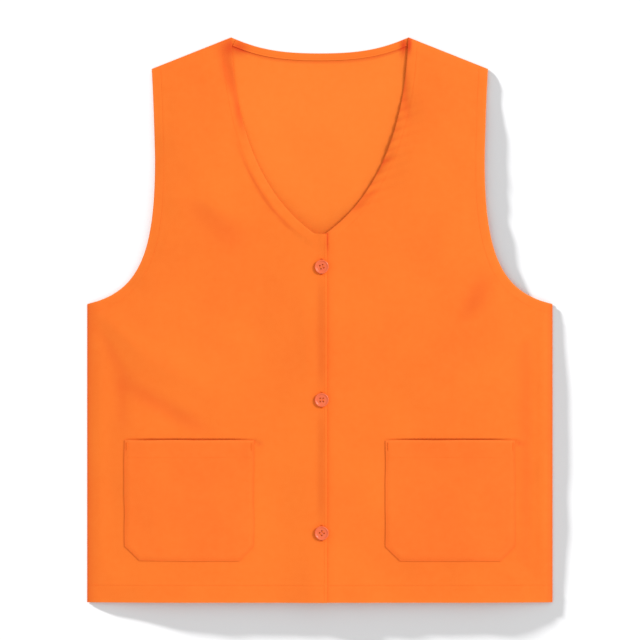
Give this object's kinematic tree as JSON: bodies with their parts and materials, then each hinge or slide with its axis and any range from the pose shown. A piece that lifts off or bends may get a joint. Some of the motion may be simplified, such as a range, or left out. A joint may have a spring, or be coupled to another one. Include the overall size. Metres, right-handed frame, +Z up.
{
  "type": "blaze orange vest",
  "caption": "Sleeveless woven vest laid flat on its back, with a deep curved neckline, a buttoned front that opens and patch pockets with cut-off lower corners.",
  "frame": {"origin": "on the surface the vest lies on, under the middle of its outline", "axes": "+X to the wearer's left, +Y from the hem to the neck, +Z up, out of the front"},
  "size_m": [0.544, 0.6604, 0.0207],
  "materials": {
    "body_cloth": "matte plain weave",
    "pocket_cloth": "matte plain weave",
    "facing_cloth": "matte plain weave, inner side",
    "interlining": "matte non-woven",
    "thread": "spun sewing thread",
    "button": "satin moulded resin"
  },
  "bodies": {
    "garment": {"back_panel": "body_cloth", "back_neck_band": "facing_cloth", "back_hem": "facing_cloth", "left_back_armhole_facing": "facing_cloth", "right_back_armhole_facing": "facing_cloth", "left_side_seam": "thread", "right_side_seam": "thread", "left_shoulder_seam": "thread", "right_shoulder_seam": "thread", "left_front_side": "body_cloth", "right_front_side": "body_cloth", "left_front_side_hem": "facing_cloth", "right_front_side_hem": "facing_cloth", "left_front_armhole_facing": "facing_cloth", "right_front_armhole_facing": "facing_cloth", "left_upper_neck_facing": "facing_cloth", "right_upper_neck_facing": "facing_cloth", "left_pocket": "pocket_cloth", "right_pocket": "pocket_cloth", "left_pocket_hem": "pocket_cloth", "right_pocket_hem": "pocket_cloth", "left_pocket_inner_tack": "thread", "right_pocket_inner_tack": "thread", "left_pocket_outer_tack": "thread", "right_pocket_outer_tack": "thread"},
    "right_front": {"right_front_flap": "body_cloth", "right_flap_hem": "facing_cloth", "right_lower_neck_facing": "facing_cloth", "right_placket": "body_cloth", "right_interlining": "interlining", "right_front_facing": "facing_cloth", "buttonhole_1": "thread", "buttonhole_2": "thread", "buttonhole_3": "thread"},
    "left_front": {"left_front_flap": "body_cloth", "left_flap_hem": "facing_cloth", "left_lower_neck_facing": "facing_cloth", "left_interlining": "interlining", "left_front_facing": "facing_cloth", "button_shank_1": "thread", "button_shank_2": "thread", "button_shank_3": "thread"},
    "top_button": {"button_1": "button"},
    "middle_button": {"button_2": "button"},
    "bottom_button": {"button_3": "button"}
  },
  "joints": [
    {"name": "right_front_fold", "type": "hinge", "parent": "garment", "child": "right_front", "pos_m": [-0.05192, -0.33025, 0.0116], "axis": [0.0678, -0.9977, 0], "range_deg": [0, 160], "deforming": ["right_placket", "right_interlining", "right_front_facing", "buttonhole_1", "buttonhole_2", "buttonhole_3"]},
    {"name": "left_front_fold", "type": "hinge", "parent": "garment", "child": "left_front", "pos_m": [0.05192, -0.33025, 0.0116], "axis": [0.0678, 0.9977, 0], "range_deg": [0, 80]},
    {"name": "top_button_twist", "type": "hinge", "parent": "left_front", "child": "top_button", "pos_m": [0.0022, 0.06175, 0.0173], "axis": [0, 0, 1], "range_deg": [-35, 35]},
    {"name": "middle_button_twist", "type": "hinge", "parent": "left_front", "child": "middle_button", "pos_m": [0.0022, -0.0935, 0.0173], "axis": [0, 0, 1], "range_deg": [-35, 35]},
    {"name": "bottom_button_twist", "type": "hinge", "parent": "left_front", "child": "bottom_button", "pos_m": [0.0022, -0.24875, 0.0173], "axis": [0, 0, 1], "range_deg": [-35, 35]}
  ],
  "couplings": [
    {"joint": "left_front_fold", "follows": "right_front_fold", "ratio": 0.5}
  ]
}
